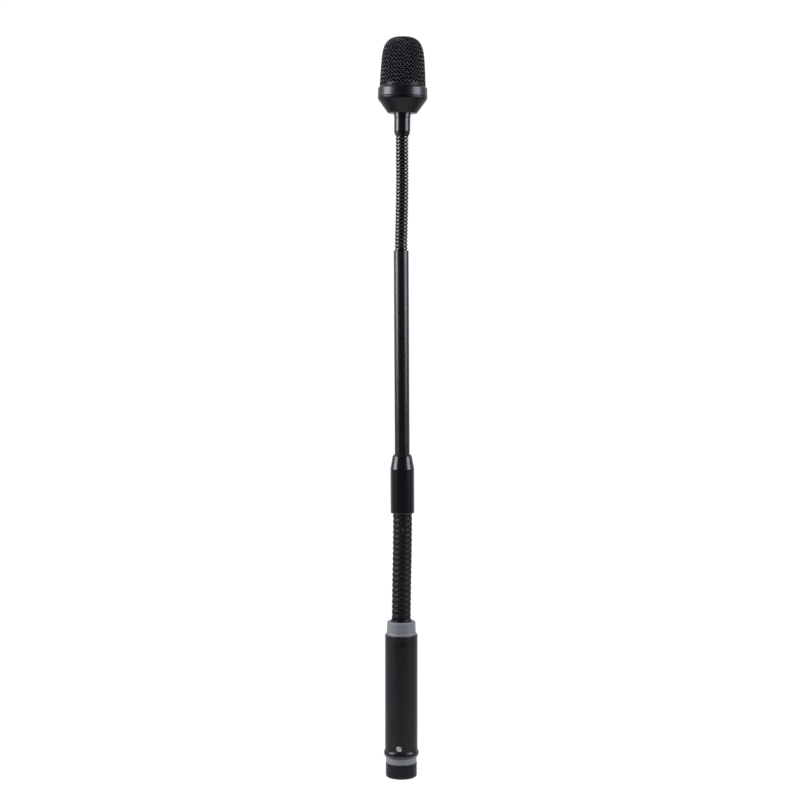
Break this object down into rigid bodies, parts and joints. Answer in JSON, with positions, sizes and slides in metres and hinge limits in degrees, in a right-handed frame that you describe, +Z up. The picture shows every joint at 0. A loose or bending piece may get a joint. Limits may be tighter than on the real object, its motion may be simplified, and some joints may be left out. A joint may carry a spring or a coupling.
{
  "type": "gooseneck podium microphone",
  "caption": "Slim microphone with a domed woven grille, thin stem, upper and lower flexible necks, a round barrel and a male plug-in connector base.",
  "frame": {"origin": "on the centre line at the shoulder of the connector nose, where the nose meets the grey ring above it and plugging-in stops", "axes": "+Z up the barrel's centre line towards the head; -Y is the front, the side that carries the connector's retaining screw and faces the person who speaks; +X to that person's left-hand view, the right of a front view"},
  "size_m": [0.0295, 0.0294, 0.4472],
  "materials": {
    "connector_metal": "satin black die-cast",
    "insert_plastic": "moulded black",
    "contact_metal": "silver-plated, smooth",
    "bright_steel": "bright turned steel",
    "grey_rubber": "soft matte bluish grey",
    "gloss_rubber": "glossy black",
    "black_rubber": "matte black",
    "barrel_metal": "satin black with fine turned lines",
    "carrier_plastic": "moulded dark grey",
    "circuit_board": "green solder resist",
    "capacitor_sleeve": "printed-free dark sleeve",
    "chip_plastic": "moulded black",
    "wire_insulation": "coloured insulation",
    "lead_sheath": "dark grey sheath",
    "brass": "turned",
    "turned_black_metal": "semi-gloss black on turned metal",
    "stem_metal": "semi-gloss black tube",
    "lower_neck_wire": "matte black wound wire",
    "upper_neck_wire": "glossy black wound wire",
    "head_metal": "semi-gloss black",
    "rim_metal": "polished black",
    "grille_wire": "black woven wire",
    "dark_foam": "open-cell dark foam",
    "capsule_metal": "drawn can",
    "film": "metallised film and its rings",
    "felt": "grey felt"
  },
  "bodies": {
    "base": {"xlr_shell": "connector_metal", "xlr_insert": "insert_plastic", "xlr_pins": "contact_metal", "insert_screw": "bright_steel", "bottom_isolator": "grey_rubber", "o_ring": "gloss_rubber", "barrel": "barrel_metal", "board_carrier": "carrier_plastic", "preamp_board": "circuit_board", "board_capacitors": "capacitor_sleeve", "board_chips": "chip_plastic", "xlr_wires": "wire_insulation", "lead_cores": "wire_insulation", "signal_lead": "lead_sheath", "anchor_nut": "brass", "neck_anchor": "turned_black_metal", "top_isolator": "grey_rubber", "lower_neck_foot": "lower_neck_wire"},
    "lower_link_1": {"lower_neck_link_1": "lower_neck_wire"},
    "lower_link_2": {"lower_neck_link_2": "lower_neck_wire"},
    "lower_link_3": {"lower_neck_link_3": "lower_neck_wire"},
    "lower_link_4": {"lower_neck_link_4": "lower_neck_wire"},
    "lower_link_5": {"lower_neck_link_5": "lower_neck_wire"},
    "stem": {"lower_neck_top": "lower_neck_wire", "coupling_sleeve": "turned_black_metal", "stem_tube": "stem_metal", "stem_bush": "turned_black_metal", "upper_neck_foot": "upper_neck_wire"},
    "upper_link_1": {"upper_neck_link_1": "upper_neck_wire"},
    "upper_link_2": {"upper_neck_link_2": "upper_neck_wire"},
    "upper_link_3": {"upper_neck_link_3": "upper_neck_wire"},
    "upper_link_4": {"upper_neck_link_4": "upper_neck_wire"},
    "upper_link_5": {"upper_neck_link_5": "upper_neck_wire"},
    "upper_link_6": {"upper_neck_link_6": "upper_neck_wire"},
    "upper_link_7": {"upper_neck_link_7": "upper_neck_wire"},
    "head": {"upper_neck_top": "upper_neck_wire", "head_ferrule": "turned_black_metal", "ferrule_nut": "brass", "head_cup": "head_metal", "grille_rim": "rim_metal", "grille_mesh": "grille_wire", "foam_liner": "dark_foam", "shock_mount": "black_rubber", "capsule_can": "capsule_metal", "capsule_front": "capsule_metal", "diaphragm": "film", "diaphragm_spacer": "film", "backplate": "brass", "cell_holder": "insert_plastic", "fet_board": "circuit_board", "fet_chip": "chip_plastic", "backplate_contact": "brass", "rear_felt": "felt", "capsule_wires": "wire_insulation"}
  },
  "joints": [
    {"name": "lower_neck_side_1", "type": "hinge", "parent": "base", "child": "lower_link_1", "pos_m": [0, 0, 0.09352], "axis": [0, 1, 0], "range_deg": [-20, 20], "deforming": ["signal_lead"]},
    {"name": "lower_neck_nod_1", "type": "hinge", "parent": "lower_link_1", "child": "lower_link_2", "pos_m": [0.00015, 0, 0.10437], "axis": [1, 0, 0], "range_deg": [-20, 20], "deforming": ["signal_lead"]},
    {"name": "lower_neck_side_2", "type": "hinge", "parent": "lower_link_2", "child": "lower_link_3", "pos_m": [0.0003, 0, 0.11522], "axis": [0, 1, 0], "range_deg": [-20, 20], "deforming": ["signal_lead"]},
    {"name": "lower_neck_nod_2", "type": "hinge", "parent": "lower_link_3", "child": "lower_link_4", "pos_m": [0.00055, 0, 0.12607], "axis": [1, 0, 0], "range_deg": [-20, 20], "deforming": ["signal_lead"]},
    {"name": "lower_neck_side_3", "type": "hinge", "parent": "lower_link_4", "child": "lower_link_5", "pos_m": [0.00068, 0, 0.13692], "axis": [0, 1, 0], "range_deg": [-20, 20], "deforming": ["signal_lead"]},
    {"name": "lower_neck_nod_3", "type": "hinge", "parent": "lower_link_5", "child": "stem", "pos_m": [0.00076, 0, 0.14777], "axis": [1, 0, 0], "range_deg": [-20, 20], "deforming": ["signal_lead"]},
    {"name": "upper_neck_side_1", "type": "hinge", "parent": "stem", "child": "upper_link_1", "pos_m": [-0.00012, 0, 0.31577], "axis": [0, 1, 0], "range_deg": [-22.5, 22.5], "deforming": ["signal_lead"]},
    {"name": "upper_neck_nod_1", "type": "hinge", "parent": "upper_link_1", "child": "upper_link_2", "pos_m": [0.00006, 0, 0.32431], "axis": [1, 0, 0], "range_deg": [-22.5, 22.5], "deforming": ["signal_lead"]},
    {"name": "upper_neck_side_2", "type": "hinge", "parent": "upper_link_2", "child": "upper_link_3", "pos_m": [0.00025, 0, 0.33286], "axis": [0, 1, 0], "range_deg": [-22.5, 22.5], "deforming": ["signal_lead"]},
    {"name": "upper_neck_nod_2", "type": "hinge", "parent": "upper_link_3", "child": "upper_link_4", "pos_m": [0.00044, 0, 0.34141], "axis": [1, 0, 0], "range_deg": [-22.5, 22.5], "deforming": ["signal_lead"]},
    {"name": "upper_neck_side_3", "type": "hinge", "parent": "upper_link_4", "child": "upper_link_5", "pos_m": [0.00054, 0, 0.34996], "axis": [0, 1, 0], "range_deg": [-22.5, 22.5], "deforming": ["signal_lead"]},
    {"name": "upper_neck_nod_3", "type": "hinge", "parent": "upper_link_5", "child": "upper_link_6", "pos_m": [0.00054, 0, 0.35851], "axis": [1, 0, 0], "range_deg": [-22.5, 22.5], "deforming": ["signal_lead"]},
    {"name": "upper_neck_side_4", "type": "hinge", "parent": "upper_link_6", "child": "upper_link_7", "pos_m": [0.00046, 0, 0.36706], "axis": [0, 1, 0], "range_deg": [-22.5, 22.5], "deforming": ["signal_lead"]},
    {"name": "upper_neck_nod_4", "type": "hinge", "parent": "upper_link_7", "child": "head", "pos_m": [0.0004, 0, 0.37561], "axis": [1, 0, 0], "range_deg": [-22.5, 22.5], "deforming": ["signal_lead"]}
  ],
  "couplings": [
    {"joint": "lower_neck_side_2", "follows": "lower_neck_side_1", "ratio": 1},
    {"joint": "lower_neck_nod_2", "follows": "lower_neck_nod_1", "ratio": 1},
    {"joint": "lower_neck_side_3", "follows": "lower_neck_side_1", "ratio": 1},
    {"joint": "lower_neck_nod_3", "follows": "lower_neck_nod_1", "ratio": 1},
    {"joint": "upper_neck_side_2", "follows": "upper_neck_side_1", "ratio": 1},
    {"joint": "upper_neck_nod_2", "follows": "upper_neck_nod_1", "ratio": 1},
    {"joint": "upper_neck_side_3", "follows": "upper_neck_side_1", "ratio": 1},
    {"joint": "upper_neck_nod_3", "follows": "upper_neck_nod_1", "ratio": 1},
    {"joint": "upper_neck_side_4", "follows": "upper_neck_side_1", "ratio": 1},
    {"joint": "upper_neck_nod_4", "follows": "upper_neck_nod_1", "ratio": 1}
  ]
}
